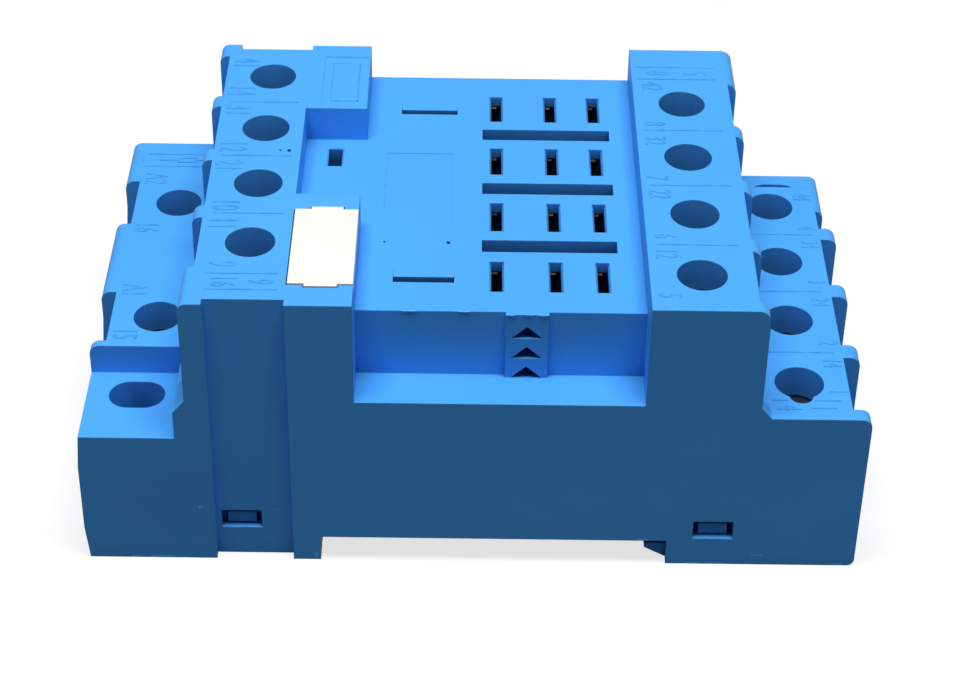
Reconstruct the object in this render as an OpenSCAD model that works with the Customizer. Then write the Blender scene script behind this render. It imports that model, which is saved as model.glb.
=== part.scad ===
// Four-pole plug-in relay socket for a 35 mm rail or a panel.
// Fourteen screw terminals on two levels a side, with rising box clamps.
// X runs across the rail, Y along the rail, Z up from the rail seat.

/* [Overall] */
// Depth of the socket along the rail
body_d = 47.1; // [46.5:0.1:49]
// Outer face of the left end, from the rail's middle
left_x = 41.6; // [41.4:0.1:43]
// Outer face of the right end, from the rail's middle
right_x = 37; // [36.8:0.1:38.5]
// Height of the upper terminal level above the feet
top_z = 32.8; // [32.4:0.1:34]
// Height of the plateau that carries the relay
plateau_z = 28.8; // [28.4:0.1:29.2]
// Height of the lower terminal level
low_z = 19.5; // [19.2:0.1:19.8]
// Height of the two panel mounting steps
step_z = 16.05; // [15:0.05:17]
// Thickness of the front and back walls
end_wall = 2.1; // [1.9:0.1:2.4]

/* [Rail seat] */
// Width of the notch over the rail
notch_w = 35.3; // [35.2:0.1:36]
// Depth of the notch from the feet to the rail seat
notch_h = 3.1; // [3:0.1:3.4]
// Reach of the fixed hook under the rail flange
hook_reach = 1.3; // [0.8:0.1:1.6]
// Travel of the rail clip when it is pulled
clip_travel = 2.4; // [2:0.1:2.6]
// Reach of the clip nose under the rail flange
nose_reach = 2.2; // [1.8:0.1:2.4]
// Width of the clip's stem
stem_w = 13; // [10:0.5:15]
// Running clearance round the clip
clip_gap = 0.3; // [0.2:0.05:0.4]

/* [Terminals] */
// Spacing of the poles along the rail
pitch = 10.16; // [10:0.02:10.2]
// Place of the first row of contacts from the front face
row_y = 10.13; // [9.9:0.01:10.3]
// Place of the first right-hand terminals from the front face
right_y = 5.65; // [5.5:0.01:5.8]
// Place of the first lower left terminal from the front face
coil_y = 15.1; // [15:0.01:15.3]
// Screw line of the upper left terminals
ul_x = 24.39; // [24.2:0.01:24.6]
// Screw line of the upper right terminals
ur_x = 19.72; // [19.6:0.01:19.9]
// Screw line of the lower right terminals
lr_x = 30.3; // [30.1:0.01:30.4]
// Screw line of the lower left terminals
ll_x = 34.87; // [34.8:0.01:35]
// Diameter of the screwdriver holes
access_d = 4.95; // [4.6:0.05:5.2]
// Length of each wire bay between two partitions
bay_w = 8.1; // [7.6:0.1:8.3]
// Width of each wire entry
entry_w = 5.2; // [4.8:0.1:5.6]
// Height of each wire entry
entry_h = 3.2; // [3:0.1:3.4]

/* [Clamps and screws] */
// Depth of the screw head below its level
head_depth = 3.8; // [3.6:0.1:4]
// Diameter of the screw head
head_d = 5.6; // [5.3:0.1:5.8]
// Thickness of the screw head
head_t = 1.6; // [1.4:0.1:1.8]
// Thread diameter of the screws
thread_d = 3.5; // [3:0.1:3.6]
// Running fit of the thread in the clamp
thread_fit = 0.05; // [0.02:0.01:0.08]
// Rise of the clamp from open to shut
clamp_travel = 2.4; // [2.2:0.1:2.5]
// Length of the clamp along the wire
clamp_l = 6.4; // [5.8:0.1:6.6]
// Width of the clamp
clamp_w = 5.8; // [5.5:0.1:6]
// Thickness of the clamp's side walls
clamp_wall = 0.8; // [0.7:0.05:0.85]
// Thickness of the clamp's threaded top
clamp_top = 1.2; // [1:0.1:1.3]
// Thickness of the clamp's floor
clamp_floor = 0.9; // [0.7:0.1:1]
// Gap that clears the clamp at each end of its travel
clamp_gap = 0.15; // [0.12:0.01:0.2]
// Clearance of the clamp in its chamber
chamber_gap = 0.2; // [0.15:0.01:0.25]

/* [Contacts] */
// Thickness of the contact strips
strip_t = 0.8; // [0.6:0.1:0.8]
// Width of the contact strips
strip_w = 3.6; // [3.2:0.1:3.8]
// Seating clearance round the contacts
seat_gap = 0.15; // [0.1:0.01:0.2]
// Length of the contact slots
slot_l = 4.95; // [4.9:0.05:5.1]
// Width of the contact slots
slot_w = 1.08; // [1:0.02:1.2]
// Lead-in chamfer of the contact slots
slot_lead = 0.2; // [0.14:0.02:0.24]
// Length of the coil slots
coil_l = 6.08; // [5.9:0.02:6.2]
// Lead-in chamfer of the coil slots
coil_lead = 0.93; // [0.8:0.01:1]
// Thickness of the skin over the contacts
skin_t = 1.2; // [1:0.1:1.4]
// Depth of the jaws under the skin
jaw_h = 7; // [6.4:0.1:7.2]
// Column of the moving contacts
col_a = -0.09; // [-0.3:0.01:0.1]
// Column of the make contacts
col_b = 5.79; // [5.6:0.01:5.9]
// Column of the break contacts
col_c = 10.5; // [10.4:0.01:10.7]
// Column of the coil contacts
col_coil = -7.36; // [-7.5:0.01:-7.2]

/* [Marker tag] */
// Length of the marker tag
tag_l = 12.34; // [11.5:0.02:12.6]
// Thickness of the marker tag
tag_t = 1.2; // [1:0.1:1.4]
// Place of the tag from the front face
tag_y = 3.4; // [3.2:0.05:3.6]
// Clearance round the marker tag
tag_gap = 0.12; // [0.1:0.01:0.16]
// Height of the tag above the upper level
tag_proud = 0.1; // [0.05:0.01:0.2]

/* [Hidden] */
$fn = 48;
eps = 0.01;
big = 60;

// Plan of the two levels, seen from the front
wall_ul = 29.47;              // wire bay wall of the upper left level
face_ul = 30.55;              // outer face of its partitions
wall_ur = 25;
face_ur = 25.97;
wall_ll = left_x - 1.95;
wall_lr = right_x - 1.8;
col_l = 20.44;                // inner side of the left column
col_r = 14.6;                 // inner side of the right column
bay_l = 13.95;                // right side of the marker and plate blocks
step_l = 31.75;               // inner side of the left mounting step
step_r = 27.05;
marker_back = 18.5;           // back of the marker block
plate_front = 34.4;           // front of the block with the bare plate
step_front = 10.15;           // depth of the left mounting step
right_end = body_d - 7.2;     // back of the lower right level
left_start = coil_y - bay_w / 2;
left_end = coil_y + 2 * pitch + bay_w / 2;
channel_l = 28.27;            // label channel down both end faces
channel_d = 0.9;
recess_d = 4.6;               // clip recess in the front face
recess_z = 20.95;
rib_x0 = 0.78;                // ratchet rib in the recess
rib_w = 4.25;
rib_t = 0.45;
notch_in = 1.2;               // depth of the rib's notches behind the recess
bay_floor = 4.6;              // foot of the lower wire bays
edge_r = 1.1;                 // rounding of the outer top edges

// Clamp and contact heights below each terminal level
head_z = head_depth + head_t;
bar_top = head_z + 2 * clamp_gap + clamp_travel + clamp_top;
bar_bot = bar_top + strip_t;
floor_top = bar_bot + clamp_travel + 0.05;
clamp_h = floor_top + clamp_floor - (head_z + clamp_gap + clamp_travel);
pocket_d = head_d + 0.4;
jaw_top = plateau_z - skin_t - 0.1;
jaw_bot = jaw_top - jaw_h;
leaf = 0.5;                   // thickness of one jaw leaf
jaw_out = 1.35;               // half width over the jaw leaves
slot_back = 0.17;             // middle of a slot behind its row
slot_lead_h = 0.4;            // depth of the lead-in on a slot's long sides
coil_w = 1.2;                 // width of the coil slots
coil_lead_h = 0.25;           // depth of the lead-in behind a coil slot
jaw_w = slot_l + 0.5;         // jaw width along the blade
web_in = 0.15;                // step of the jaw's end web into the slot
web_gap = 0.05;               // gap that lets the leaves move beside the web
web_edge = 0.15;              // chamfer on the web's top edge
coil_jaw_w = coil_l - 0.7;
pinch = 0.2;                  // half gap where the blade is gripped
run_drop = 13.4;
low_run = plateau_z - run_drop; // height of the run under the coil jaws
coil_shift_z = jaw_bot - 2.2; // sideways step of the coil strips
bar_u = top_z - bar_bot;
bar_l = low_z - bar_bot;
bar_end = 2.6;                // strip end beyond the screw line
jog_x0 = 13.9;                // where the right-hand strips step sideways
jog_x1 = 16.1;
jog_h = 0.2;
rise_x = 18.6;                // where the left-hand strips rise

// Base cover and clip
foot_t = 1.6;                 // thickness of the cover
cover_gap = 0.1;
cover_l = wall_ll - 1.4;
cover_r = wall_lr - 1.4;
cover_y0 = end_wall + cover_gap;
cover_y1 = body_d - end_wall - cover_gap;
shelf_z = notch_h + 0.75;     // underside of the cover above the clip
wall_x = notch_w / 2 + 1.5;   // outside of the cover's notch walls
snap_l = 25.65;               // middles of the snap hooks
snap_r = 22.27;
snap_w = 2.9;
snap_in = 2.2;                // hook leaf behind the end face
snap_t = 1.2;                 // thickness of the hook leaf
snap_back = 0.6;              // nose face behind the wall's face
win_w = 4.1;
win_z0 = 3.5;                 // window: foot of the sloped sill, sill and top
win_sill = 3.6;
win_z1 = 5.8;
win_slope = 0.55;
snap_low = 0.75;              // top of the hook below the window's top
slot_len = 5.67;              // panel slots
slot_wid = 4.08;
slot_lx = 36.22;
slot_ly = 6.67;
slot_rx = 31.75;
slot_ry = body_d - 3.73;
nose_y = 0.9;                 // clip nose from each end face
clip_t = 1.85;
clip_z = 0.15;
stem_y = body_d / 2;
arm_root = notch_w / 2 + 2;   // clip leaf: root, knee and tip
arm_knee = right_x - 11;
arm_tip = right_x - 6;
arm_in = 4.5;                 // leaf root beyond the stem
rail_x = right_x - 14.5;      // start of the clip's carrying rails
hole_x = 17.22;               // coding hole in the module pocket
hole_y = 31.2;
hole_w = 1.45;
hole_l = 3.3;
hole_h = 6;
peg_l = col_l - 1.74;         // end pegs of the marker tag
peg_r = bay_l + 1.55;
peg_t = 0.8;
peg_h = 2.2;
nick_d = 2.4;                 // nick at the first lower right hole

function row(k) = row_y + k * pitch;
function rrow(k) = right_y + k * pitch;
function lrow(k) = coil_y + 2 * k * pitch;

// A profile in X and Z, drawn from one Y to another
module slab(y0, y1) {
  translate([0, y1, 0]) rotate([90, 0, 0]) linear_extrude(y1 - y0) children();
}

module box(x0, x1, y0, y1, z0, z1) {
  translate([x0, y0, z0]) cube([x1 - x0, y1 - y0, z1 - z0]);
}

// A level of the outline in X and Z with a rounded outer top edge
module level(x0, x1, z0, z1, r) {
  s = x1 > x0 ? 1 : -1;
  difference() {
    translate([min(x0, x1), z0]) square([abs(x1 - x0), z1 - z0]);
    translate([x1 - s * r, z1 - r]) difference() {
      translate([s > 0 ? 0 : -r - eps, 0]) square([r + eps, r + eps]);
      circle(r);
    }
  }
}

// ---------- housing ----------
module end_outline_left() {
  polygon([[-20, 0], [-left_x + 0.35, 0], [-left_x, 4], [-left_x, step_z - 4],
           [-left_x + 0.3, step_z], [-20, step_z]]);
}

module end_outline_right() {
  difference() {
    translate([20, 0]) square([right_x - 20, step_z]);
    translate([right_x - 0.8, 0.8]) difference() {
      translate([0, -0.9]) square([0.9, 0.9]);
      circle(0.8);
    }
  }
}

module gusset(x, s) {
  polygon([[x - s * 0.2, low_z - eps], [x + s * 1.1, low_z - eps], [x, low_z + 1.35],
           [x - s * 0.2, low_z + 1.35]]);
}

module housing_mass() {
  // Base block up to the mounting steps
  slab(0, body_d) end_outline_left();
  slab(0, right_end) end_outline_right();
  intersection() {
    slab(right_end - 1, body_d) end_outline_right();
    slab(right_end - 1, body_d) level(0, right_x, -1, step_z, edge_r);
  }
  box(-20.5, 20.5, 0, body_d, 0, step_z);
  // Lower levels
  slab(step_front, body_d) level(0, -left_x + 0.3, step_z - 1, low_z, edge_r);
  slab(0, right_end) level(0, right_x, step_z - 1, low_z, edge_r);
  box(-step_l, 0, 0, step_front + 1, step_z - 1, low_z);
  box(0, step_r, right_end - 1, body_d, step_z - 1, low_z);
  // Upper levels with their partitions
  slab(0, body_d) level(0, -face_ul, low_z - 1, top_z, 0.9);
  slab(0, body_d) level(0, face_ur, low_z - 1, top_z, 1.25);
  slab(0, 2 * end_wall) gusset(-face_ul, -1);
  slab(body_d - end_wall, body_d) gusset(-face_ul, -1);
  slab(0, 1.6) gusset(face_ur, 1);
  for (k = [0:2]) slab(rrow(k) + bay_w / 2, rrow(k + 1) - bay_w / 2) gusset(face_ur, 1);
  slab(right_end, body_d) gusset(face_ur, 1);
}

module wire_bays() {
  for (k = [0:3]) {
    box(-face_ul - 1, -wall_ul, row(k) - bay_w / 2, row(k) + bay_w / 2, low_z, top_z + 1);
    box(wall_ur, face_ur + 1.6, rrow(k) - bay_w / 2, rrow(k) + bay_w / 2, low_z, top_z + 1);
    box(wall_lr, right_x + 1, rrow(k) - bay_w / 2, rrow(k) + bay_w / 2, bay_floor, low_z + 1);
  }
  for (k = [0:1])
    box(-left_x - 1, -wall_ll, lrow(k) - bay_w / 2, lrow(k) + bay_w / 2, bay_floor, low_z + 1);
}

// Plan shape of the relay bay and of the module pocket
module relay_bay() {
  box(-bay_l, col_r, -1, body_d + 1, plateau_z, top_z + 1);
  box(-col_l, -bay_l + 1, marker_back, plate_front, plateau_z, top_z + 1);
}

module clip_recess() {
  difference() {
    box(-bay_l, col_r, -1, recess_d, recess_z, top_z + 1);
    box(rib_x0, rib_x0 + rib_w, recess_d - rib_t, recess_d + 1, recess_z - 1, plateau_z);
  }
  for (k = [0:2]) ratchet_notch(recess_z + k * 2.47);
}

// One of the three notches for the retaining clip's spring
module ratchet_notch(z) {
  x = rib_x0 + rib_w / 2;
  slab(recess_d - 1, recess_d + notch_in) polygon([[x - 1.53, z], [x + 1.53, z], [x, z + 1.42]]);
}

module label_channels() {
  box(-channel_l, -col_l, -1, channel_d, -1, top_z + 1);
  box(-channel_l, -col_l, body_d - channel_d, body_d + 1, -1, top_z + 1);
}

// Rectangular lead-in, wider by cx and cy at the surface and c deep
module lead_in(x, y, w, l, cx, cy, c, z) {
  intersection() {
    slab(y - l / 2 - 1, y + l / 2 + 1)
      polygon([[x - w / 2, z - c], [x + w / 2, z - c], [x + w / 2 + cx, z],
               [x + w / 2 + cx, z + 1], [x - w / 2 - cx, z + 1], [x - w / 2 - cx, z]]);
    translate([x - w / 2 - 1, 0, 0]) rotate([90, 0, 90]) linear_extrude(w + 2)
      polygon([[y - l / 2, z - c], [y + l / 2, z - c], [y + l / 2 + cy, z],
               [y + l / 2 + cy, z + 1], [y - l / 2 - cy, z + 1], [y - l / 2 - cy, z]]);
  }
}

module blade_slot(x, row_line) {
  y = row_line + slot_back;
  box(x - slot_w / 2, x + slot_w / 2, y - slot_l / 2, y + slot_l / 2,
      plateau_z - skin_t - 1, plateau_z + 1);
  lead_in(x, y, slot_w, slot_l, slot_lead, 0, slot_lead_h, plateau_z);
  box(x - jaw_out - seat_gap, x + jaw_out + seat_gap, y - jaw_w / 2 - seat_gap,
      y + jaw_w / 2 + seat_gap, jaw_bot - seat_gap, plateau_z - skin_t);
}

module coil_slot(y) {
  b = y + coil_w / 2;
  box(col_coil - coil_l / 2, col_coil + coil_l / 2, y - coil_w / 2, b, plateau_z - skin_t - 1, plateau_z + 1);
  translate([col_coil - coil_l / 2, 0, 0]) rotate([90, 0, 90]) linear_extrude(coil_l)
    polygon([[y, plateau_z - coil_lead_h], [b, plateau_z - coil_lead_h], [b + coil_lead, plateau_z],
             [b + coil_lead, plateau_z + 1], [y, plateau_z + 1]]);
  box(col_coil - coil_jaw_w / 2 - seat_gap, col_coil + coil_jaw_w / 2 + seat_gap,
      y - jaw_out - seat_gap, y + jaw_out + seat_gap, jaw_bot - seat_gap, plateau_z - skin_t);
}

// Screw hole, head pocket, clamp chamber and wire entry of one terminal
module terminal_cut(x, y, z, s, wall, open_to) {
  translate([x, y, z - head_depth - 1]) cylinder(d = access_d, h = head_depth + 2);
  translate([x, y, z - head_z - eps]) cylinder(d = pocket_d, h = head_t + clamp_gap + eps);
  box(x - clamp_l / 2 - chamber_gap, x + clamp_l / 2 + chamber_gap,
      y - clamp_w / 2 - chamber_gap, y + clamp_w / 2 + chamber_gap, open_to, z - head_z);
  z0 = z - floor_top - 0.2;
  translate([x, 0, 0]) slab(y - entry_w / 2, y + entry_w / 2)
    polygon([[s * (clamp_l / 2), z0], [s * (wall + 1), z0 - 1 * 0.6],
             [s * (wall + 1), z0 + entry_h + 0.6], [s * (clamp_l / 2), z0 + entry_h]]);
}

module terminal_cuts() {
  for (k = [0:3]) {
    terminal_cut(-ul_x, row(k), top_z, -1, wall_ul - ul_x, top_z - floor_top - clamp_floor - 0.15);
    terminal_cut(ur_x, rrow(k), top_z, 1, wall_ur - ur_x, top_z - floor_top - clamp_floor - 0.15);
    terminal_cut(lr_x, rrow(k), low_z, 1, wall_lr - lr_x, low_z - floor_top - clamp_floor - 0.15);
  }
  for (k = [0:1])
    terminal_cut(-ll_x, lrow(k), low_z, -1, wall_ll - ll_x, low_z - floor_top - clamp_floor - 0.15);
}

module barrier_grooves() {
  for (k = [0:2])
    box(-1.57, 12.1, row(k) + pitch / 2 - 0.78, row(k) + pitch / 2 + 1.22, plateau_z - 5, plateau_z + 1);
}

module obround(x, y, z0, z1) {
  a = (slot_len - slot_wid) / 2;
  translate([x - a, y, z0]) cylinder(d = slot_wid, h = z1 - z0);
  translate([x + a, y, z0]) cylinder(d = slot_wid, h = z1 - z0);
  box(x - a, x + a, y - slot_wid / 2, y + slot_wid / 2, z0, z1);
}

module mounting_slots() {
  obround(-slot_lx, slot_ly, -1, step_z + 1);
  obround(slot_rx, slot_ry, -1, step_z + 1);
}

// Space of the base cover, grown by g
module cover_outline(g) {
  polygon([[-cover_l - g, -1], [-cover_l - g, foot_t + 0.1 + g], [-wall_x - g, foot_t + 0.1 + g],
           [-wall_x - g, notch_h + foot_t + g], [wall_x - g, notch_h + foot_t + g],
           [wall_x - g, shelf_z + foot_t + g], [cover_r + g, shelf_z + foot_t + g], [cover_r + g, -1]]);
}

module cover_plan(g) {
  difference() {
    translate([-cover_l - g, cover_y0 - g]) square([cover_l + cover_r + 2 * g, cover_y1 - cover_y0 + 2 * g]);
    translate([-cover_l - 2, -1]) square([cover_l + 2 - (slot_lx - slot_len / 2 - 1.3) - g, slot_ly + slot_wid / 2 + 2.2 - g]);
    translate([slot_rx - slot_len / 2 - 1.3 + g, slot_ry - slot_wid / 2 - 1.3 + g]) square([20, 20]);
  }
}

module base_pocket() {
  intersection() {
    slab(0, body_d) cover_outline(cover_gap);
    translate([0, 0, -1]) linear_extrude(20) cover_plan(cover_gap);
  }
  // Rail notch through both end walls
  box(-notch_w / 2, notch_w / 2, -1, body_d + 1, -1, notch_h);
  // Relief for the clip nose behind the end walls
  box(notch_w / 2 - eps, notch_w / 2 + clip_travel + 3, nose_y - 0.2, body_d - nose_y + 0.2, -1, clip_z + clip_t + 0.2);
  // Way out for the clip's pull tab
  box(30, right_x + 1, stem_y - stem_w / 2 - clip_gap, stem_y + stem_w / 2 + clip_gap, -1, clip_z + clip_t + 0.25);
  for (s = [-1, 1]) {
    snap_pocket(-snap_l, s);
    snap_pocket(snap_r, s);
  }
}

// Room for one snap hook and its window in the end wall
module snap_pocket(x, s) {
  y0 = s < 0 ? 0 : body_d;
  a = y0 - s * (snap_in - 0.3);
  b = y0 - s * (snap_in + snap_t + 0.4);
  box(x - snap_w / 2 - 0.2, x + snap_w / 2 + 0.2, min(a, b), max(a, b), 0, win_z1);
  f = y0 - (x < 0 ? s * channel_d : 0);
  translate([x - win_w / 2, 0, 0]) rotate([90, 0, 90]) linear_extrude(win_w)
    polygon([[f + s, win_z0], [f, win_z0], [f - s * win_slope, win_sill], [y0 - s * snap_in, win_sill],
             [y0 - s * snap_in, win_z1], [f + s, win_z1]]);
}

module strip_channels() {
  for (k = [0:3]) {
    strip_a(k, seat_gap);
    strip_b(k, seat_gap);
    strip_c(k, seat_gap);
  }
  for (k = [0:1]) strip_coil(k, seat_gap);
}

module module_hole() {
  box(-hole_x - hole_w / 2, -hole_x + hole_w / 2, hole_y - hole_l / 2, hole_y + hole_l / 2,
      plateau_z - hole_h, plateau_z + 1);
  lead_in(-hole_x, hole_y, hole_w, hole_l, slot_lead, slot_lead, slot_lead, plateau_z);
}

module tag_seat() {
  z = top_z - tag_t;
  box(-col_l, -bay_l + 1, tag_y - tag_gap, tag_y + tag_l + tag_gap, z, top_z + 1);
  for (y = [tag_y, tag_y + tag_l])
    box(-peg_l - tag_gap, -peg_r + tag_gap, y - peg_t / 2 - tag_gap, y + peg_t / 2 + tag_gap,
        z - peg_h - 0.2, top_z + 1);
}

module housing() {
  color([0.11, 0.41, 0.78]) difference() {
    housing_mass();
    wire_bays();
    relay_bay();
    clip_recess();
    label_channels();
    for (k = [0:3]) {
      blade_slot(col_a, row(k));
      blade_slot(col_b, row(k));
      blade_slot(col_c, row(k));
    }
    coil_slot(coil_row(0));
    coil_slot(coil_row(1));
    terminal_cuts();
    // Nick at the near edge of the first lower right hole
    translate([lr_x, right_y - 2, low_z - head_depth]) cylinder(d = nick_d, h = head_depth + 1);
    barrier_grooves();
    mounting_slots();
    base_pocket();
    strip_channels();
    module_hole();
    tag_seat();
  }
}

// ---------- contacts ----------
function coil_row(k) = row_y - 0.31 + k * (3 * pitch - 0.1);

// Sprung jaws in X and Z round a blade; the same shape serves every contact
module jaw_profile() {
  for (s = [-1, 1])
    polygon([[s * jaw_out, jaw_top], [s * (jaw_out - leaf), jaw_top], [s * pinch, jaw_top - 2.2],
             [s * (jaw_out - leaf), jaw_top - 5], [s * (jaw_out - leaf), jaw_bot + strip_t - eps],
             [s * jaw_out, jaw_bot + strip_t - eps], [s * jaw_out, jaw_top - 5.2],
             [s * (pinch + leaf), jaw_top - 2.2]]);
  translate([-jaw_out, jaw_bot]) square([2 * jaw_out, strip_t]);
}

// Blade jaws: two leaves on a base, with a bent end web behind the left leaf
module jaws(x, y) {
  web = slot_l / 2 - web_in;
  translate([x, y + slot_back, 0]) {
    slab(-jaw_w / 2, web - web_gap) jaw_profile();
    translate([-jaw_out, 0, 0]) rotate([90, 0, 90]) linear_extrude(jaw_out + web_gap)
      polygon([[web, jaw_bot], [jaw_w / 2, jaw_bot], [jaw_w / 2, jaw_top], [web + web_edge, jaw_top],
               [web, jaw_top - web_edge]]);
    box(-jaw_out, jaw_out, -jaw_w / 2, jaw_w / 2, jaw_bot, jaw_bot + strip_t);
  }
}

// Strip from the A jaws down, under the coil jaws and up to the upper left clamp
module strip_a(k, g) {
  w = strip_w / 2 + g;
  y = row(k);
  box(col_a - strip_t / 2 - g, col_a + strip_t / 2 + g, y - w, y + w, low_run - g, jaw_bot + eps);
  box(-rise_x - strip_t - g, col_a + strip_t / 2 + g, y - w, y + w, low_run - g, low_run + strip_t + g);
  box(-rise_x - strip_t - g, -rise_x + g, y - w, y + w, low_run - g, bar_u + strip_t + g);
  box(-ul_x - bar_end - g, -rise_x + g, y - w, y + w, bar_u - g, bar_u + strip_t + g);
}

// Plan of a right-hand strip, which steps sideways to its terminal
module jog_plan(x0, x1, k, g) {
  w = strip_w / 2 + g;
  h = jog_h + g;
  translate([x0 - g, row(k) - w]) square([jog_x0 - x0 + g, 2 * w]);
  polygon([[jog_x0 - h, row(k) - w], [jog_x1 - h, rrow(k) - w], [jog_x1 + h, rrow(k) - w],
           [jog_x1 + h, rrow(k) + w], [jog_x0 + h, row(k) + w], [jog_x0 - h, row(k) + w]]);
  translate([jog_x1, rrow(k) - w]) square([x1 - jog_x1 + g, 2 * w]);
}

module strip_b(k, g) {
  w = strip_w / 2 + g;
  y = row(k);
  box(col_b - strip_t / 2 - g, col_b + strip_t / 2 + g, y - w, y + w, bar_l - g, jaw_bot + eps);
  translate([0, 0, bar_l - g]) linear_extrude(strip_t + 2 * g) jog_plan(col_b - strip_t / 2, lr_x + bar_end, k, g);
}

module strip_c(k, g) {
  w = strip_w / 2 + g;
  x = col_c + jaw_out;
  // Short riser where the strip leaves the outer leaf
  box(x - leaf - g, x + g, row(k) - w, row(k) + w, min(bar_u, jaw_bot) - g, max(bar_u, jaw_bot) + strip_t + g);
  translate([0, 0, bar_u - g]) linear_extrude(strip_t + 2 * g) jog_plan(col_c + jaw_out - 0.3, ur_x + bar_end, k, g);
}

// Coil strip, stepped to the gap between two rows before it goes down
module strip_coil(k, g) {
  w = 1.6 + g;
  y0 = coil_row(k);
  y1 = lrow(k);
  a = min(y0, y1 - strip_t / 2) - g;
  b = max(y0, y1 + strip_t / 2) + g;
  box(col_coil - w, col_coil + w, y0 - strip_t / 2 - g, y0 + strip_t / 2 + g, coil_shift_z - g, jaw_bot + eps);
  box(col_coil - w, col_coil + w, a - (k == 0 ? strip_t / 2 : 0), b + (k == 1 ? strip_t / 2 : 0),
      coil_shift_z - g, coil_shift_z + strip_t + g);
  box(col_coil - w, col_coil + w, y1 - strip_t / 2 - g, y1 + strip_t / 2 + g, bar_l - g, coil_shift_z + eps);
  box(-ll_x - bar_end - g, col_coil + 1.6 + g, y1 - strip_w / 2 - g, y1 + strip_w / 2 + g,
      bar_l - g, bar_l + strip_t + g);
}

module contact_a(k) {
  color([0.78, 0.6, 0.26]) {
    jaws(col_a, row(k));
    strip_a(k, 0);
  }
}

module contact_b(k) {
  color([0.78, 0.6, 0.26]) {
    jaws(col_b, row(k));
    strip_b(k, 0);
  }
}

module contact_c(k) {
  color([0.78, 0.6, 0.26]) {
    jaws(col_c, row(k));
    strip_c(k, 0);
  }
}

module coil_contact(k) {
  color([0.78, 0.6, 0.26]) {
    translate([col_coil, coil_row(k), 0]) rotate([0, 0, 90]) slab(-coil_jaw_w / 2, coil_jaw_w / 2) jaw_profile();
    strip_coil(k, 0);
  }
}

// ---------- screws and clamps ----------
module screw(x, y, z) {
  color([0.72, 0.73, 0.75]) translate([x, y, z - head_depth]) difference() {
    union() {
      translate([0, 0, -head_t]) cylinder(d = head_d, h = head_t - 0.3);
      translate([0, 0, -0.3]) cylinder(d1 = head_d, d2 = head_d - 0.6, h = 0.3);
      translate([0, 0, -head_t - (bar_top - head_z) + 0.42]) cylinder(d = thread_d, h = bar_top - head_z - 0.4);
      translate([0, 0, -head_t - (bar_top - head_z) + 0.02]) cylinder(d1 = thread_d - 0.8, d2 = thread_d, h = 0.4);
    }
    translate([-head_d, -0.4, -0.9]) cube([2 * head_d, 0.8, 2]);
    translate([-0.4, -1.5, -0.9]) cube([0.8, 3, 2]);
  }
}

module clamp_profile() {
  r = 0.7;
  difference() {
    translate([-clamp_w / 2, 0]) square([clamp_w, clamp_h]);
    for (s = [-1, 1], t = [0, 1])
      translate([s * (clamp_w / 2 - r), t * clamp_h + (1 - 2 * t) * r]) difference() {
        translate([s > 0 ? 0 : -r - eps, t > 0 ? 0 : -r - eps]) square([r + eps, r + eps]);
        circle(r);
      }
    translate([-clamp_w / 2 + clamp_wall, clamp_floor])
      square([clamp_w - 2 * clamp_wall, clamp_h - clamp_floor - clamp_top]);
  }
}

module clamp(x, y, z) {
  z0 = z - floor_top - clamp_floor;
  color([0.8, 0.81, 0.8]) translate([x, y, z0]) difference() {
    translate([-clamp_l / 2, 0, 0]) rotate([90, 0, 90]) linear_extrude(clamp_l) clamp_profile();
    translate([0, 0, clamp_h - clamp_top - 0.5]) cylinder(d = thread_d + 2 * thread_fit, h = clamp_top + 1);
  }
}

// ---------- base cover ----------
module cover_shell() {
  difference() {
    cover_outline(0);
    // Clear of the feet and of the rail below the plate
    polygon([[-cover_l - 1, -2], [-cover_l - 1, 0.1], [-notch_w / 2, 0.1], [-notch_w / 2, notch_h],
             [wall_x - foot_t, notch_h], [wall_x - foot_t, shelf_z], [cover_r + 1, shelf_z], [cover_r + 1, -2]]);
  }
}

module fixed_hook() {
  x = -notch_w / 2;
  slab(5, body_d - 5)
    polygon([[x - 0.5, 0.3], [x + 0.3, 0.3], [x + hook_reach, 1.2], [x + hook_reach, 1.95], [x - 0.5, 1.95]]);
}

module snap_hook(x, s) {
  y0 = s < 0 ? 0 : body_d;
  z0 = x < 0 ? foot_t : shelf_z + foot_t;
  a = y0 - s * snap_in;
  b = a - s * snap_t;
  f = y0 - s * (snap_back + (x < 0 ? channel_d : 0));
  low = win_sill + 0.15;
  high = win_z1 - snap_low;
  box(x - snap_w / 2, x + snap_w / 2, min(a, b), max(a, b), z0 - 0.5, high);
  translate([x - snap_w / 2, 0, 0]) rotate([90, 0, 90]) linear_extrude(snap_w)
    polygon([[a - s * 0.2, low], [f, low], [f, high - 0.1], [f - s * 0.1, high], [a - s * 0.2, high]]);
}

// Rails that carry the sliding clip under the cover
module clip_rail(s) {
  y = stem_y + s * (stem_w / 2 + clip_gap);
  a = y + s * 1.4;
  b = y + s * 0.2;
  c = y - s * 1.2;
  box(rail_x, cover_r - 0.3, min(y, a), max(y, a), clip_z, shelf_z + 0.3);
  box(rail_x, cover_r - 0.3, min(b, c), max(b, c), clip_z, clip_z + 0.6);
}

module base_cover() {
  color([0.1, 0.38, 0.72]) {
    intersection() {
      slab(cover_y0, cover_y1) cover_shell();
      translate([0, 0, -1]) linear_extrude(20) cover_plan(0);
    }
    fixed_hook();
    for (s = [-1, 1]) {
      snap_hook(-snap_l, s);
      snap_hook(snap_r, s);
      clip_rail(s);
    }
  }
}

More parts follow.
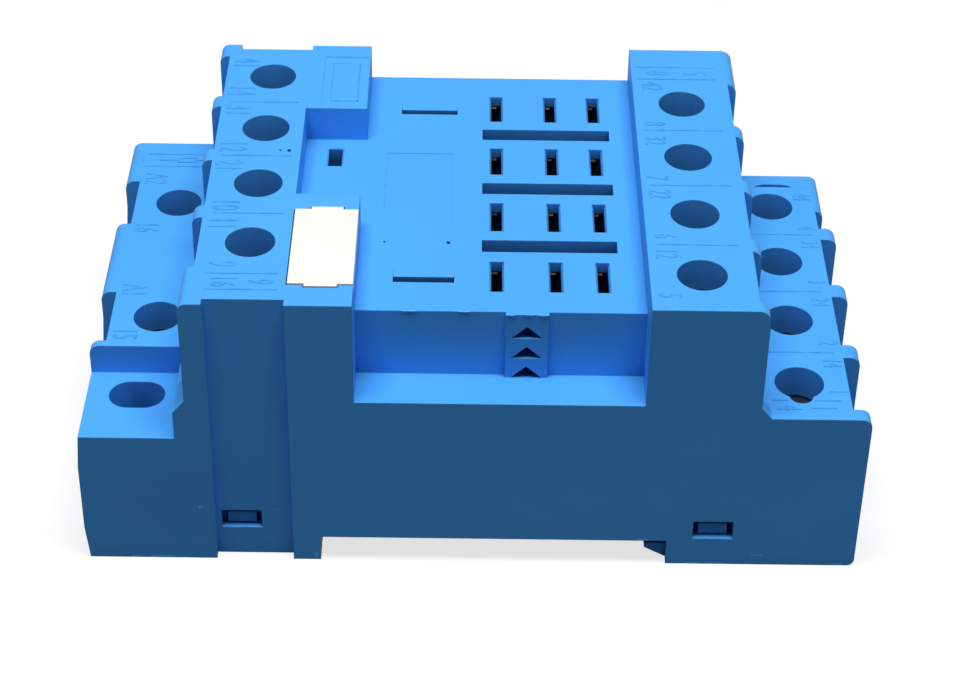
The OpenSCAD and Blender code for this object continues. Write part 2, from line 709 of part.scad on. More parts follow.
// ---------- rail clip ----------
module rail_clip() {
  z1 = clip_z + clip_t;
  x0 = notch_w / 2 - nose_reach;
  color([0.1, 0.38, 0.72]) {
    slab(nose_y, body_d - nose_y)
      polygon([[x0, z1], [x0, z1 - 0.6], [notch_w / 2, clip_z], [notch_w / 2 + 2.2, clip_z], [notch_w / 2 + 2.2, z1]]);
    difference() {
      union() {
        // Stem with a step on each side for the rails
        box(notch_w / 2 + 1, right_x - 0.1, stem_y - stem_w / 2, stem_y + stem_w / 2, clip_z + 0.9, z1);
        box(notch_w / 2 + 1, right_x - 0.1, stem_y - stem_w / 2 + 1.6, stem_y + stem_w / 2 - 1.6, clip_z, z1);
      }
      // Screwdriver slot in the pull tab
      box(right_x - 3.2, right_x - 1.6, stem_y - 2.5, stem_y + 2.5, -1, 5);
      box(rail_x - clip_travel - 0.6, rail_x - 0.3, stem_y - stem_w / 2 - 1, stem_y - stem_w / 2 + 1.6, -1, clip_z + 0.9);
    }
    for (s = [-1, 1]) spring_arm(s);
  }
}

// Moulded leaf beside the stem, free to bend against the end of its bay
module spring_arm(s) {
  a = stem_w / 2 + arm_in;
  translate([0, stem_y, clip_z]) linear_extrude(clip_t - 0.2)
    polygon([[arm_root, s * a], [arm_root, s * (a + 1.1)], [arm_knee, s * (a + 3.6)], [arm_tip, s * (a + 3.4)],
             [arm_tip, s * (a + 2.5)], [arm_knee, s * (a + 2.6)]]);
}

// ---------- marker tag ----------
module marker_tag() {
  z = top_z - tag_t;
  color([0.97, 0.97, 0.93]) {
    box(-col_l + tag_gap, -bay_l - 0.02, tag_y, tag_y + tag_l, z + 0.02, top_z + tag_proud);
    for (y = [tag_y, tag_y + tag_l])
      box(-peg_l, -peg_r, y - peg_t / 2, y + peg_t / 2, z - peg_h, top_z + tag_proud);
  }
}

// Origin on the rail seat, in the middle of the socket
module place() {
  translate([0, -body_d / 2, -notch_h]) children();
}

place() housing();
place() base_cover();
place() rail_clip();
place() marker_tag();
place() contact_a(0);  // contact_a_1
place() contact_a(1);  // contact_a_2
place() contact_a(2);  // contact_a_3
place() contact_a(3);  // contact_a_4
place() contact_b(0);  // contact_b_1
place() contact_b(1);  // contact_b_2
place() contact_b(2);  // contact_b_3
place() contact_b(3);  // contact_b_4
place() contact_c(0);  // contact_c_1
place() contact_c(1);  // contact_c_2
place() contact_c(2);  // contact_c_3
place() contact_c(3);  // contact_c_4
place() coil_contact(0);  // coil_contact_1
place() coil_contact(1);  // coil_contact_2
place() screw(-ul_x, row(0), top_z);  // screw_ul_1
place() screw(-ul_x, row(1), top_z);  // screw_ul_2
place() screw(-ul_x, row(2), top_z);  // screw_ul_3
place() screw(-ul_x, row(3), top_z);  // screw_ul_4
place() screw(ur_x, rrow(0), top_z);  // screw_ur_1
place() screw(ur_x, rrow(1), top_z);  // screw_ur_2
place() screw(ur_x, rrow(2), top_z);  // screw_ur_3
place() screw(ur_x, rrow(3), top_z);  // screw_ur_4
place() screw(lr_x, rrow(0), low_z);  // screw_lr_1
place() screw(lr_x, rrow(1), low_z);  // screw_lr_2
place() screw(lr_x, rrow(2), low_z);  // screw_lr_3
place() screw(lr_x, rrow(3), low_z);  // screw_lr_4
place() screw(-ll_x, lrow(0), low_z);  // screw_ll_1
place() screw(-ll_x, lrow(1), low_z);  // screw_ll_2
place() clamp(-ul_x, row(0), top_z);  // clamp_ul_1
place() clamp(-ul_x, row(1), top_z);  // clamp_ul_2
place() clamp(-ul_x, row(2), top_z);  // clamp_ul_3
place() clamp(-ul_x, row(3), top_z);  // clamp_ul_4
place() clamp(ur_x, rrow(0), top_z);  // clamp_ur_1
place() clamp(ur_x, rrow(1), top_z);  // clamp_ur_2
place() clamp(ur_x, rrow(2), top_z);  // clamp_ur_3
place() clamp(ur_x, rrow(3), top_z);  // clamp_ur_4
place() clamp(lr_x, rrow(0), low_z);  // clamp_lr_1
place() clamp(lr_x, rrow(1), low_z);  // clamp_lr_2
place() clamp(lr_x, rrow(2), low_z);  // clamp_lr_3
place() clamp(lr_x, rrow(3), low_z);  // clamp_lr_4
place() clamp(-ll_x, lrow(0), low_z);  // clamp_ll_1
place() clamp(-ll_x, lrow(1), low_z);  // clamp_ll_2
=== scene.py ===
# Dresses a four-pole relay socket: moulded blue housing with raised lines and numbers,
# white marker tag, brass contacts and zinc-plated screws. Everything is in metres on the CAD frame.
import math

import bpy
from mathutils import Matrix, Vector, noise


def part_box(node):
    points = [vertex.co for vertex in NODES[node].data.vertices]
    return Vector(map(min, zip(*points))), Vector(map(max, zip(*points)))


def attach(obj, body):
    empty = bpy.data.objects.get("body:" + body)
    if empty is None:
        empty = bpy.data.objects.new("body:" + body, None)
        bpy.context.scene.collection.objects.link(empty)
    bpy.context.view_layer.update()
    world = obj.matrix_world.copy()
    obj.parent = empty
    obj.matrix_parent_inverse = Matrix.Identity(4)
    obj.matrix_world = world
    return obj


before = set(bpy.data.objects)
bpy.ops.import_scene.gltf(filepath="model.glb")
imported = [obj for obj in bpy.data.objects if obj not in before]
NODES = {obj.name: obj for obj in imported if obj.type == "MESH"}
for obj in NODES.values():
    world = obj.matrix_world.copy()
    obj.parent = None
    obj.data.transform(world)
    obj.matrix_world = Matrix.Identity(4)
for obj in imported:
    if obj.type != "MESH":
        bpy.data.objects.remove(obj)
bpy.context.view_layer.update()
MM = 0.001

# ---------- sizes taken from the frame ----------
HOUSING_LOW, HOUSING_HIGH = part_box("housing")
FRONT = HOUSING_LOW.y
FACE = FRONT / MM                   # front face in mm
FEET = HOUSING_LOW.z
UPPER = HOUSING_HIGH.z              # face of the upper terminal levels
PLATEAU = FEET + 28.8 * MM          # face that carries the relay
LOWER = FEET + 19.5 * MM            # face of the lower terminal levels
SHELF = FEET + 3.5 * MM             # lower edge of the snap windows


# ---------- camera, light, floor ----------
def make_camera():
    place = Vector((-2.934, -201.838, 167.800)) * MM
    down, turn, roll = 0.61186, 0.00582, 0.01618
    ahead = Vector((math.sin(turn) * math.cos(down), math.cos(turn) * math.cos(down), -math.sin(down)))
    right = Vector((math.cos(turn), -math.sin(turn), 0))
    up = right.cross(ahead)
    right, up = (right * math.cos(roll) + up * math.sin(roll),
                 up * math.cos(roll) - right * math.sin(roll))
    camera = bpy.data.objects.new("camera", bpy.data.cameras.new("camera"))
    bpy.context.scene.collection.objects.link(camera)
    turned = Matrix((right, up, -ahead)).transposed().to_4x4()
    camera.matrix_world = Matrix.Translation(place) @ turned
    camera.data.lens = 89.065
    camera.data.sensor_width = 36
    camera.data.shift_y = -0.15
    camera.data.clip_start, camera.data.clip_end = 0.01, 10
    bpy.context.scene.camera = camera
    bpy.context.scene.view_settings.view_transform = "Standard"


def soft_lamp(name, place, aim, size, watts):
    lamp = bpy.data.lights.new(name, "AREA")
    lamp.shape = "RECTANGLE"
    lamp.size, lamp.size_y = size
    lamp.energy = watts
    holder = bpy.data.objects.new(name, lamp)
    bpy.context.scene.collection.objects.link(holder)
    holder.location = place
    holder.rotation_mode = "QUATERNION"
    holder.rotation_quaternion = (Vector(aim) - Vector(place)).to_track_quat("-Z", "Y")


def seen_directly(tree):
    """1 for rays from the eye or off something glossy or clear, 0 for light on the object."""
    path = tree.nodes.new("ShaderNodeLightPath")
    first = tree.nodes.new("ShaderNodeMath")
    first.operation = "MAXIMUM"
    second = tree.nodes.new("ShaderNodeMath")
    second.operation = "MAXIMUM"
    tree.links.new(path.outputs["Is Camera Ray"], first.inputs[0])
    tree.links.new(path.outputs["Is Glossy Ray"], first.inputs[1])
    tree.links.new(first.outputs[0], second.inputs[0])
    tree.links.new(path.outputs["Is Transmission Ray"], second.inputs[1])
    return second.outputs[0]


def make_lights():
    soft_lamp("overhead_box", (0.0, -0.085, 0.60), (0, 0.0, 0), (0.42, 0.16), 3.75)
    world = bpy.data.worlds.new("studio")
    bpy.context.scene.world = world
    world.use_nodes = True
    tree = world.node_tree
    tree.nodes.clear()
    out = tree.nodes.new("ShaderNodeOutputWorld")
    seen = tree.nodes.new("ShaderNodeBackground")
    seen.inputs["Color"].default_value = (1, 1, 1, 1)
    seen.inputs["Strength"].default_value = 1.0
    lit = tree.nodes.new("ShaderNodeBackground")
    lit.inputs["Color"].default_value = (1.0, 0.89, 1.06, 1)
    lit.inputs["Strength"].default_value = 0.08
    pick = tree.nodes.new("ShaderNodeMixShader")
    tree.links.new(seen_directly(tree), pick.inputs["Fac"])
    tree.links.new(lit.outputs[0], pick.inputs[1])
    tree.links.new(seen.outputs[0], pick.inputs[2])
    tree.links.new(pick.outputs[0], out.inputs["Surface"])


def make_floor():
    bpy.ops.object.select_all(action="DESELECT")
    bpy.ops.mesh.primitive_plane_add(size=6, location=(0, 0, FEET - 0.00002))
    floor = bpy.context.object
    floor.name = "floor"
    stuff = bpy.data.materials.new("pale_floor")
    stuff.use_nodes = True
    tree = stuff.node_tree
    tree.nodes.clear()
    out = tree.nodes.new("ShaderNodeOutputMaterial")
    paper = tree.nodes.new("ShaderNodeBsdfDiffuse")
    paper.inputs["Color"].default_value = (0.09, 0.10, 0.11, 1)
    sheet = tree.nodes.new("ShaderNodeBsdfDiffuse")
    sheet.inputs["Color"].default_value = (0.28, 0.28, 0.28, 1)
    white = tree.nodes.new("ShaderNodeEmission")
    white.inputs["Strength"].default_value = 0.74
    both = tree.nodes.new("ShaderNodeMixShader")
    shine = tree.nodes.new("ShaderNodeAddShader")
    tree.links.new(sheet.outputs[0], shine.inputs[0])
    tree.links.new(white.outputs[0], shine.inputs[1])
    tree.links.new(seen_directly(tree), both.inputs["Fac"])
    tree.links.new(paper.outputs[0], both.inputs[1])
    tree.links.new(shine.outputs[0], both.inputs[2])
    tree.links.new(both.outputs[0], out.inputs["Surface"])
    floor.data.materials.append(stuff)


# ---------- finishes ----------
POLYAMIDE = (0.080, 0.415, 0.965)
BURR_TILT = (0.0, -0.42, 0.91)      # normal of a burr on the front, turned up to the lamp


class Finish:
    """A material being wired: keeps its tree and its shader at hand."""

    def __init__(self, name):
        self.material = bpy.data.materials.new(name)
        self.material.use_nodes = True
        self.tree = self.material.node_tree
        self.shader = self.tree.nodes["Principled BSDF"]
        self.place = self.add("ShaderNodeTexCoord").outputs["Object"]

    def add(self, kind, **settings):
        node = self.tree.nodes.new(kind)
        for key, value in settings.items():
            if key in node.inputs.keys():
                node.inputs[key].default_value = value
            else:
                setattr(node, key, value)
        return node

    def link(self, source, target):
        self.tree.links.new(source, target)

    def noise(self, scale, detail=3.0, roughness=0.5, stretch=None):
        place = self.place
        if stretch:
            mapping = self.add("ShaderNodeMapping")
            mapping.inputs["Scale"].default_value = stretch
            self.link(place, mapping.inputs["Vector"])
            place = mapping.outputs["Vector"]
        node = self.add("ShaderNodeTexNoise", Scale=scale, Detail=detail, Roughness=roughness)
        self.link(place, node.inputs["Vector"])
        return node.outputs["Fac"]

    def ramp(self, source, stops):
        node = self.add("ShaderNodeValToRGB")
        elements = node.color_ramp.elements
        while len(elements) < len(stops):
            elements.new(0.5)
        for element, (position, color) in zip(elements, stops):
            element.position = position
            element.color = (*color, 1)
        self.link(source, node.inputs["Fac"])
        return node.outputs["Color"]

    def span(self, source, low, high, start=0.0, end=1.0):
        node = self.add("ShaderNodeMapRange")
        node.inputs["From Min"].default_value = start
        node.inputs["From Max"].default_value = end
        node.inputs["To Min"].default_value = low
        node.inputs["To Max"].default_value = high
        self.link(source, node.inputs["Value"])
        return node.outputs["Result"]

    def blend(self, amount, first, second):
        node = self.add("ShaderNodeMix", data_type="RGBA")
        self.link(amount, node.inputs["Factor"])
        for source, target in ((first, node.inputs["A"]), (second, node.inputs["B"])):
            if isinstance(source, tuple):
                target.default_value = (*source, 1)
            else:
                self.link(source, target)
        return node.outputs["Result"]

    def bump(self, source, strength, distance, before=None):
        node = self.add("ShaderNodeBump", Strength=strength, Distance=distance)
        self.link(source, node.inputs["Height"])
        if before:
            self.link(before, node.inputs["Normal"])
        return node.outputs["Normal"]

    def painted_shade(self, reach, low, high):
        """How much painted shade to lay on: 1 deep in a hole or a corner, 0 in the open."""
        node = self.add("ShaderNodeAmbientOcclusion", samples=6)
        node.inputs["Distance"].default_value = reach
        return self.span(node.outputs["AO"], 1.0, 0.0, low, high)

    def near_any(self, spots):
        """1 inside any of the small ellipsoids, broken up by a fine noise, 0 outside."""
        ragged = self.span(self.noise(1700, 2.0, 0.6), 0.55, 1.0, 0.40, 0.55)
        most = None
        for middle, half in spots:
            scale = [1 / (h * MM) for h in half]
            away = self.add("ShaderNodeVectorMath", operation="MULTIPLY_ADD")
            self.link(self.place, away.inputs[0])
            away.inputs[1].default_value = scale
            away.inputs[2].default_value = [-m * MM * s for m, s in zip(middle, scale)]
            far = self.add("ShaderNodeVectorMath", operation="LENGTH")
            self.link(away.outputs["Vector"], far.inputs[0])
            near = self.span(far.outputs["Value"], 1.0, 0.0, 0.55, 1.0)
            if most:
                more = self.add("ShaderNodeMath", operation="MAXIMUM")
                self.link(most, more.inputs[0])
                self.link(near, more.inputs[1])
                near = more.outputs[0]
            most = near
        broken = self.add("ShaderNodeMath", operation="MULTIPLY")
        self.link(most, broken.inputs[0])
        self.link(ragged, broken.inputs[1])
        return broken.outputs[0]

    def rounded_edge(self, radius, start, end, most):
        """The rounded normal, and how near an edge the surface is."""
        soft = self.add("ShaderNodeBevel", samples=5)
        soft.inputs["Radius"].default_value = radius
        true = self.add("ShaderNodeNewGeometry")
        meet = self.add("ShaderNodeVectorMath", operation="DOT_PRODUCT")
        self.link(soft.outputs["Normal"], meet.inputs[0])
        self.link(true.outputs["Normal"], meet.inputs[1])
        return soft.outputs["Normal"], self.span(meet.outputs["Value"], 0.0, most, start, end)


# Burrs and nicks on the front face that turn up to the light: middle, then half size, mm
FRONT_BURRS = (
    ((-36.6, FACE, -3.00), (0.5, 0.3, 0.16)),
    ((-33.9, FACE, -2.98), (1.3, 0.3, 0.22)),
    ((-31.5, FACE, -3.00), (0.4, 0.3, 0.14)),
    ((-18.1, FACE, -2.45), (0.22, 0.3, 0.45)),
    ((15.2, FACE, 0.16), (0.65, 0.3, 0.14)),
    ((20.4, FACE, -3.00), (0.9, 0.3, 0.16)),
    ((22.9, FACE, -3.00), (1.0, 0.3, 0.16)),
    ((35.4, FACE, -3.00), (0.7, 0.3, 0.14)),
    ((26.95, FACE, -1.82), (0.7, 0.3, 0.10)),
    ((-29.6, FACE, 3.83), (0.28, 0.3, 0.22)),
    ((-21.9, FACE + 0.9, 2.85), (0.10, 0.3, 0.10)))


def moulded_blue(name, tone=1.0, grain=1.0, burrs=()):
    """Blue polyamide: faint flow marks, spark-eroded grain, a painted highlight on the edges and painted
    shade in the hollows.
    """
    f = Finish(name)
    base = [c * tone for c in POLYAMIDE]
    dark = [c * 0.955 for c in base]
    pale = [min(1.0, c * 1.04 + 0.006) for c in base]
    flow = f.noise(42, 2.5, 0.5, (1.0, 0.55, 1.3))
    color = f.ramp(flow, [(0.30, dark), (0.52, base), (0.76, pale)])
    # Fine specks of dust and handling
    speck = f.span(f.noise(1500, 2.0, 0.5), 0.0, 0.22, 0.66, 0.80)
    color = f.blend(speck, color, (0.20, 0.50, 0.90))
    # Painted highlight: near the edges the blue is painted paler, in ragged patches, as if the edges
    # caught the light.
    round_normal, edge = f.rounded_edge(0.00014, 0.995, 0.80, 0.45)
    sheen_breakup = f.span(f.noise(260, 4.0, 0.6), 0.35, 1.0, 0.42, 0.62)
    patch_mask = f.add("ShaderNodeMath", operation="MULTIPLY")
    f.link(edge, patch_mask.inputs[0])
    f.link(sheen_breakup, patch_mask.inputs[1])
    color = f.blend(patch_mask.outputs[0], color, (0.22, 0.56, 1.0))
    # Painted shade: holes, slots, recesses and inside corners are painted dark navy.
    color = f.blend(f.painted_shade(0.0048, 0.08, 0.50), color, (0.012, 0.100, 0.280))
    f.link(color, f.shader.inputs["Base Color"])
    f.link(f.span(f.noise(900, 3.0, 0.6), 0.46, 0.60), f.shader.inputs["Roughness"])
    f.shader.inputs["Specular IOR Level"].default_value = 0.10
    fine = f.bump(f.noise(5200, 2.0, 0.6), 0.08 * grain, 0.00004, round_normal)
    wave = f.bump(f.noise(140, 2.0, 0.5), 0.05 * grain, 0.0003, fine)
    if burrs:
        wave = f.blend(f.near_any(burrs), wave, BURR_TILT)
    f.link(wave, f.shader.inputs["Normal"])
    return f.material


def shaded_relief_blue(name, tone):
    """Raised lines and numbers: the housing's blue, darkened all over by the tone as painted shade
    standing in for the shade on their flanks.
    """
    f = Finish(name)
    # Painted shade: the tone makes the raised lines and numbers darker than the housing; the noise varies
    # it at random.
    base = [c * tone for c in POLYAMIDE]
    patch_mask = f.noise(620, 3.0, 0.7)
    color = f.ramp(patch_mask, [(0.36, [c * 0.84 for c in base]), (0.50, base),
                          (0.66, [c / tone for c in base])])
    f.link(color, f.shader.inputs["Base Color"])
    f.link(f.span(f.noise(900, 3.0, 0.6), 0.44, 0.58), f.shader.inputs["Roughness"])
    f.shader.inputs["Specular IOR Level"].default_value = 0.10
    f.link(f.bump(f.noise(5200, 2.0, 0.6), 0.08, 0.00004), f.shader.inputs["Normal"])
    return f.material


def flash_highlight_blue(name):
    """Thin flash and burrs: painted paler than the housing, a painted highlight where their thin edges
    catch the light.
    """
    f = Finish(name)
    color = f.ramp(f.noise(900, 3.0, 0.6), [(0.30, (0.11, 0.45, 0.97)), (0.70, (0.20, 0.56, 1.0))])
    f.link(color, f.shader.inputs["Base Color"])
    f.link(f.span(f.noise(1200, 3.0, 0.6), 0.44, 0.60), f.shader.inputs["Roughness"])
    f.link(f.bump(f.noise(3000, 2.0, 0.6), 0.2, 0.00005), f.shader.inputs["Normal"])
    return f.material


def satin_white(name):
    """Marker tag: white moulding with a trace of cream and fine handling marks."""
    f = Finish(name)
    tint = f.noise(160, 3.0, 0.55)
    color = f.ramp(tint, [(0.3, (0.88, 0.88, 0.82)), (0.6, (0.91, 0.92, 0.87)),
                          (0.85, (0.93, 0.94, 0.90))])
    color = f.blend(f.span(f.noise(1800, 2.0, 0.5), 0.0, 0.30, 0.68, 0.80), color, (0.70, 0.74, 0.74))
    f.link(color, f.shader.inputs["Base Color"])
    f.link(f.span(f.noise(1400, 3.0, 0.6), 0.42, 0.56), f.shader.inputs["Roughness"])
    f.shader.inputs["Specular IOR Level"].default_value = 0.20
    round_normal, _ = f.rounded_edge(0.00012, 0.995, 0.80, 0.4)
    f.link(f.bump(f.noise(3600, 2.0, 0.6), 0.08, 0.00004, round_normal), f.shader.inputs["Normal"])
    return f.material


def stamped_brass(name):
    f = Finish(name)
    grain = f.noise(700, 4.0, 0.6, (0.25, 1.0, 1.0))
    color = f.ramp(grain, [(0.25, (0.40, 0.27, 0.11)), (0.55, (0.60, 0.44, 0.20)),
                           (0.8, (0.78, 0.62, 0.34))])
    # Tarnish comes in patches a few millimetres wide
    tarnish = f.span(f.noise(150, 1.0, 0.5), 0.55, 0.96, 0.42, 0.56)
    color = f.blend(tarnish, color, (0.035, 0.024, 0.016))
    # Painted shade: deep in the slots the brass is painted almost black.
    color = f.blend(f.painted_shade(0.004, 0.30, 0.95), color, (0.030, 0.018, 0.012))
    f.link(color, f.shader.inputs["Base Color"])
    f.shader.inputs["Metallic"].default_value = 1.0
    f.link(f.span(f.noise(1900, 3.0, 0.6), 0.30, 0.48), f.shader.inputs["Roughness"])
    f.link(f.bump(grain, 0.12, 0.00003), f.shader.inputs["Normal"])
    return f.material


def zinc_plate(name, turned=False):
    f = Finish(name)
    stretch = (1.0, 1.0, 0.2) if turned else (0.3, 1.0, 1.0)
    grain = f.noise(900, 4.0, 0.6, stretch)
    color = f.ramp(grain, [(0.25, (0.50, 0.51, 0.53)), (0.55, (0.68, 0.69, 0.70)),
                           (0.8, (0.80, 0.81, 0.81))])
    # Painted shade: deep in the holes the zinc is painted dark navy, for the shade there and the blue
    # walls it would mirror.
    color = f.blend(f.painted_shade(0.004, 0.25, 0.75), color, (0.020, 0.045, 0.085))
    f.link(color, f.shader.inputs["Base Color"])
    f.shader.inputs["Metallic"].default_value = 1.0
    f.link(f.span(f.noise(2400, 3.0, 0.6), 0.22, 0.42), f.shader.inputs["Roughness"])
    f.link(f.bump(grain, 0.12, 0.00003), f.shader.inputs["Normal"])
    return f.material


def dress(node, material):
    slots = NODES[node].material_slots
    if not slots:
        NODES[node].data.materials.append(material)
    for slot in slots:
        slot.material = material


def dress_frame():
    blue = moulded_blue("housing_blue", burrs=FRONT_BURRS)
    cover = moulded_blue("cover_blue", 0.95)
    white = satin_white("tag_white")
    brass = stamped_brass("contact_brass")
    screw_zinc = zinc_plate("screw_zinc", turned=True)
    clamp_zinc = zinc_plate("clamp_zinc")
    for node in NODES:
        if node == "housing":
            dress(node, blue)
        elif node in ("base_cover", "rail_clip"):
            dress(node, cover)
        elif node == "marker_tag":
            dress(node, white)
        elif "contact" in node:
            dress(node, brass)
        elif node.startswith("screw"):
            dress(node, screw_zinc)
        else:
            dress(node, clamp_zinc)


# ---------- raised detail on the housing ----------
RISE = 0.05                         # height of the raised lines and numbers, in mm
LINE = 0.15                         # width of the raised lines, in mm
LIP_RISE = 0.38                     # height of the lips behind the snap windows, in mm


def settle(piece):
    bpy.ops.object.transform_apply(location=True, rotation=True, scale=True)
    return piece


def raised_bar(x0, x1, y0, y1, level, rise=RISE):
    """A low bar on a face, with its edges broken."""
    bpy.ops.object.select_all(action="DESELECT")
    middle = ((x0 + x1) / 2 * MM, FRONT + (y0 + y1) / 2 * MM, level)
    bpy.ops.mesh.primitive_cube_add(size=1, location=middle)
    bar = bpy.context.object
    bar.scale = ((x1 - x0) * MM, (y1 - y0) * MM, 2 * rise * MM)
    settle(bar)
    bpy.ops.object.mode_set(mode="EDIT")
    bpy.ops.mesh.select_all(action="SELECT")
    bpy.ops.mesh.bevel(offset=min(0.3 * rise, 0.04) * MM, segments=1, affect="EDGES")
    bpy.ops.object.mode_set(mode="OBJECT")
    return bar


def raised_frame(x0, x1, y0, y1, level, line):
    """A rectangle of raised line: a sheet, inset, opened and thickened."""
    bpy.ops.object.select_all(action="DESELECT")
    middle = ((x0 + x1) / 2 * MM, FRONT + (y0 + y1) / 2 * MM, level)
    bpy.ops.mesh.primitive_plane_add(size=1, location=middle)
    ring = bpy.context.object
    ring.scale = ((x1 - x0) * MM, (y1 - y0) * MM, 1)
    settle(ring)
    bpy.ops.object.mode_set(mode="EDIT")
    bpy.ops.mesh.select_all(action="SELECT")
    bpy.ops.mesh.inset(thickness=line * MM)
    bpy.ops.mesh.delete(type="FACE")
    bpy.ops.object.mode_set(mode="OBJECT")
    wall = ring.modifiers.new("wall", "SOLIDIFY")
    wall.thickness = 2 * RISE * MM
    wall.offset = 0
    bpy.ops.object.modifier_apply(modifier="wall")
    return ring


def raised_number(text, x, y, level, tall, narrow=0.5):
    """A number that reads towards the front, its foot to the left."""
    bpy.ops.object.select_all(action="DESELECT")
    bpy.ops.object.text_add(location=(0, 0, 0))
    word = bpy.context.object
    word.data.body = text
    word.data.align_x = "CENTER"
    word.data.align_y = "CENTER"
    word.data.size = 1.42 * tall * MM
    word.data.extrude = RISE * MM
    word.data.resolution_u = 2
    bpy.ops.object.convert(target="MESH")
    word = bpy.context.object
    word.scale = (narrow, 1, 1)
    word.rotation_euler = (0, 0, -math.pi / 2)
    word.location = (x * MM, FRONT + y * MM, level)
    return settle(word)


def raised_pip(x, y, level, wide):
    """A moulded dot with a domed top."""
    bpy.ops.object.select_all(action="DESELECT")
    bpy.ops.mesh.primitive_uv_sphere_add(segments=16, ring_count=8, radius=wide / 2 * MM,
                                         location=(x * MM, FRONT + y * MM, level))
    pip = bpy.context.object
    pip.scale = (1, 1, 2 * RISE / wide)
    settle(pip)
    bpy.ops.object.mode_set(mode="EDIT")
    bpy.ops.mesh.select_all(action="SELECT")
    bpy.ops.mesh.bisect(plane_co=(0, 0, level - 0.6 * RISE * MM), plane_no=(0, 0, 1),
                        use_fill=True, clear_inner=True)
    bpy.ops.object.mode_set(mode="OBJECT")
    return pip


def gather(name, pieces, material, body="socket"):
    """Joins small trim of one kind into one piece on its body."""
    bpy.ops.object.select_all(action="DESELECT")
    for piece in pieces:
        piece.select_set(True)
    bpy.context.view_layer.objects.active = pieces[0]
    if len(pieces) > 1:
        bpy.ops.object.join()
    whole = bpy.context.object
    whole.name = name
    whole.data.materials.clear()
    whole.data.materials.append(material)
    bpy.ops.object.shade_smooth_by_angle(angle=math.radians(30))
    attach(whole, body)
    return whole


def cross_lines(lines, level):
    """Raised lines across a level: left end, right end and place from the front face."""
    return [raised_bar(x0, x1, y - LINE / 2, y + LINE / 2, level) for x0, x1, y in lines]


def terminal_lines(material):
    """Lines between the terminals, each from x to x at its y; the front one skips the hole."""
    upper = cross_lines([(-28.6, -21.3, 35.48), (-28.6, -21.3, 25.26), (-28.5, -21.4, 15.0),
                         (-28.3, -21.2, 5.0), (-28.3, -21.2, 2.45), (15.2, 23.7, 43.5),
                         (15.2, 23.75, 41.07), (15.5, 23.7, 30.99), (15.5, 23.75, 20.83),
                         (15.55, 23.6, 10.58)], UPPER)
    lower = cross_lines([(27.5, 34.3, 30.85), (27.5, 34.3, 20.7), (27.5, 34.3, 10.5),
                         (27.3, 28.95, 2.9), (31.55, 34.15, 2.9),
                         (-39.4, -32.4, 44.9), (-39.5, -32.7, 42.47)], LOWER)
    gather("upper_level_lines", upper, material)
    gather("lower_level_lines", lower, material)


def terminal_numbers(material):
    """Each terminal bears its contact number and its plain number, in four columns."""
    columns = [
        (UPPER, 2.9, [("41", -27.6, 43.3), ("14", -27.7, 37.7), ("31", -27.7, 33.8), ("12", -27.7, 26.9),
                      ("21", -27.8, 23.4), ("10", -27.5, 16.4), ("11", -27.5, 13.2), ("9", -26.9, 6.5)]),
        (UPPER, 2.3, [("42", 16.6, 39.6), ("8", 16.5, 32.2), ("32", 16.4, 29.0), ("7", 16.2, 22.1),
                      ("22", 16.3, 19.2), ("6", 16.4, 12.0), ("12", 16.4, 9.1), ("5", 16.3, 2.3)]),
        (LOWER, 2.0, [("44", 33.85, 38.0), ("4", 33.85, 32.1), ("34", 33.85, 29.1), ("3", 33.85, 22.4),
                      ("24", 33.85, 18.9), ("2", 33.85, 12.05), ("14", 33.9, 8.8), ("1", 34.0, 4.3)]),
        (LOWER, 2.6, [("A2", -38.0, 40.0), ("16", -38.0, 30.7), ("A1", -38.0, 19.5), ("15", -38.0, 12.1)])]
    numbers = {UPPER: [], LOWER: []}
    for level, tall, places in columns:
        for text, x, y in places:
            numbers[level].append(raised_number(text, x, y, level, tall))
    # Numbers of each group between its two label lines
    for text, x, y, level in (("8", 17.4, 42.3, UPPER), ("5", 21.4, 42.3, UPPER),
                              ("16", -26.6, 3.7, UPPER), ("9", -23.0, 3.7, UPPER),
                              ("4", 28.8, 1.75, LOWER), ("1", 32.2, 1.75, LOWER)):
        numbers[level].append(raised_number(text, x, y, level, 2.6))
    gather("upper_level_numbers", numbers[UPPER], material)
    gather("lower_level_numbers", numbers[LOWER], material)


def coil_symbol(material):
    """The plain sign of a coil, a box with its two leads, between the label lines."""
    pieces = [raised_frame(-35.9, -33.75, 43.2, 44.2, LOWER, 0.2),
              raised_bar(-38.0, -35.9, 43.6, 43.76, LOWER),
              raised_bar(-33.75, -32.6, 43.6, 43.76, LOWER),
              raised_bar(-39.9, -39.75, 43.5, 44.3, LOWER)]
    gather("coil_symbol", pieces, material)


def plate_frames(line, faint):
    """Outlines of the bare label fields on the plateau and on the rear block."""
    gather("plateau_field_back", [raised_bar(-11.75, -4.7, 31.87, 32.03, PLATEAU),
                                  raised_pip(-11.45, 15.9, PLATEAU, 0.30),
                                  raised_pip(-4.95, 15.9, PLATEAU, 0.50)], line)
    gather("plateau_field_sides", [raised_bar(-11.75, -11.67, 22.0, 31.95, PLATEAU, 0.02),
                                   raised_bar(-4.78, -4.70, 18.5, 31.95, PLATEAU, 0.02)], faint)
    gather("rear_field_lines", [raised_bar(-18.9, -14.1, 44.67, 44.83, UPPER),
                                raised_bar(-17.95, -14.95, 35.8, 36.0, UPPER),
                                raised_bar(-15.10, -14.96, 35.8, 43.5, UPPER)], line)
    gather("rear_field_sides", [raised_bar(-18.95, -18.83, 35.3, 44.7, UPPER, 0.03),
                                raised_bar(-17.97, -17.87, 36.0, 43.5, UPPER, 0.03),
                                raised_bar(-17.9, -15.0, 43.4, 43.5, UPPER, 0.02)], faint)
    gather("level_pips", [raised_pip(-22.6, 26.29, UPPER, 0.30),
                          raised_pip(-21.67, 26.27, UPPER, 0.48)], line)


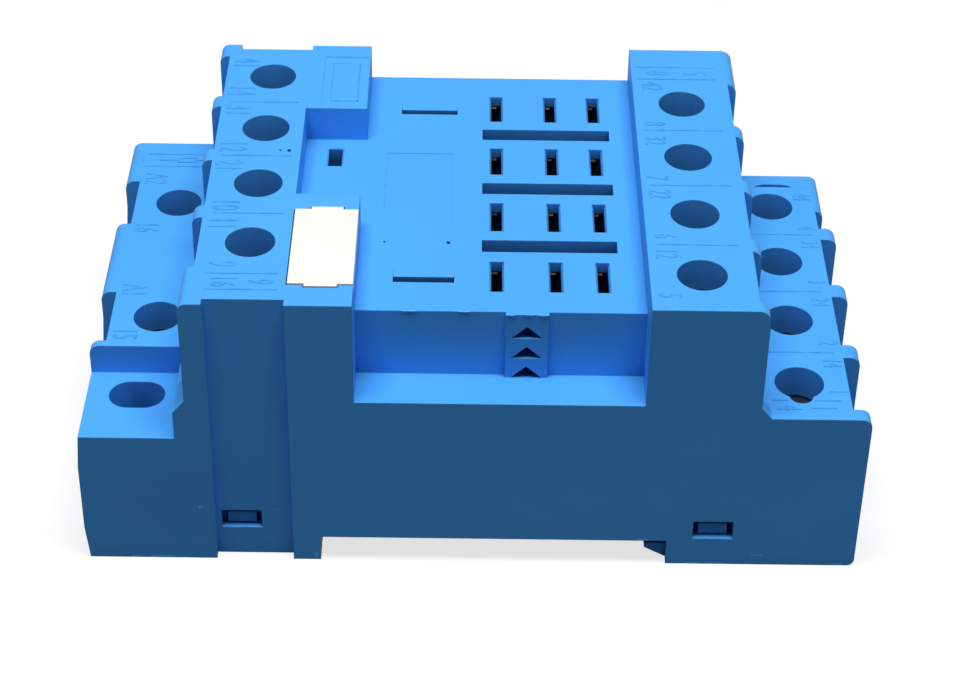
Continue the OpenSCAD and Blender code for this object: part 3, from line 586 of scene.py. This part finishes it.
def window_skirts(material):
    """Lips under the cover's shelf that close the view through the right-hand snap windows."""
    pieces = []
    for y0, y1 in ((2.22, 2.5), (44.6, 44.88)):
        pieces.append(raised_bar(19.8, 24.8, y0, y1, SHELF, LIP_RISE))
    gather("window_skirts", pieces, material)


def edge_flash(x0, x1, y, z, drop, seed, out=0.10):
    """A sliver of flash that hangs over an edge with a ragged lower side."""
    bpy.ops.object.select_all(action="DESELECT")
    bpy.ops.mesh.primitive_plane_add(size=1, location=((x0 + x1) / 2 * MM, FRONT + y * MM, z * MM))
    sliver = bpy.context.object
    sliver.rotation_euler = (math.pi / 2, 0, 0)
    sliver.scale = ((x1 - x0) * MM, drop * MM, 1)
    settle(sliver)
    bpy.ops.object.mode_set(mode="EDIT")
    bpy.ops.mesh.select_all(action="SELECT")
    bpy.ops.mesh.subdivide(number_cuts=9)
    bpy.ops.object.mode_set(mode="OBJECT")
    low = z * MM - drop * MM / 2
    high = z * MM + drop * MM / 2
    for vertex in sliver.data.vertices:
        ragged = noise.noise(Vector((vertex.co.x * 1900, seed, 0)))
        ends = min(1.0, (vertex.co.x - x0 * MM) / (0.3 * MM), (x1 * MM - vertex.co.x) / (0.3 * MM))
        deep = (vertex.co.z - high) / (low - high)
        vertex.co.z += deep * drop * MM * (0.35 - 0.75 * ragged + 0.9 * (1 - max(0.0, ends)))
        vertex.co.z = min(vertex.co.z, high)
        vertex.co.y -= out * MM * 0.5 * (1 - deep) * max(0.0, ends)
    wall = sliver.modifiers.new("wall", "SOLIDIFY")
    wall.thickness = 0.05 * MM
    wall.offset = 0
    bpy.context.view_layer.objects.active = sliver
    bpy.ops.object.modifier_apply(modifier="wall")
    return sliver


def mould_flash(material):
    """Slivers along the plateau's front edge."""
    top = PLATEAU / MM
    pieces = [edge_flash(-9.4, -7.9, 4.56, top - 0.10, 0.30, 1.3),
              edge_flash(-3.9, -2.7, 4.56, top - 0.08, 0.26, 4.1),
              edge_flash(0.75, 1.8, 4.11, top - 0.10, 0.26, 7.7),
              edge_flash(2.45, 3.6, 4.11, top - 0.14, 0.46, 2.2),
              edge_flash(3.9, 5.05, 4.11, top - 0.08, 0.26, 9.4)]
    gather("plateau_flash", pieces, material)


make_camera()
make_lights()
make_floor()
dress_frame()
LINE_SHADED_BLUE = shaded_relief_blue("line_blue_painted_shade", 0.80)
NUMBER_SHADED_BLUE = shaded_relief_blue("number_blue_painted_shade", 0.88)
FLASH = flash_highlight_blue("flash_highlight_blue")
terminal_lines(LINE_SHADED_BLUE)
terminal_numbers(NUMBER_SHADED_BLUE)
coil_symbol(LINE_SHADED_BLUE)
plate_frames(LINE_SHADED_BLUE, NUMBER_SHADED_BLUE)
mould_flash(FLASH)
window_skirts(NODES["base_cover"].material_slots[0].material)
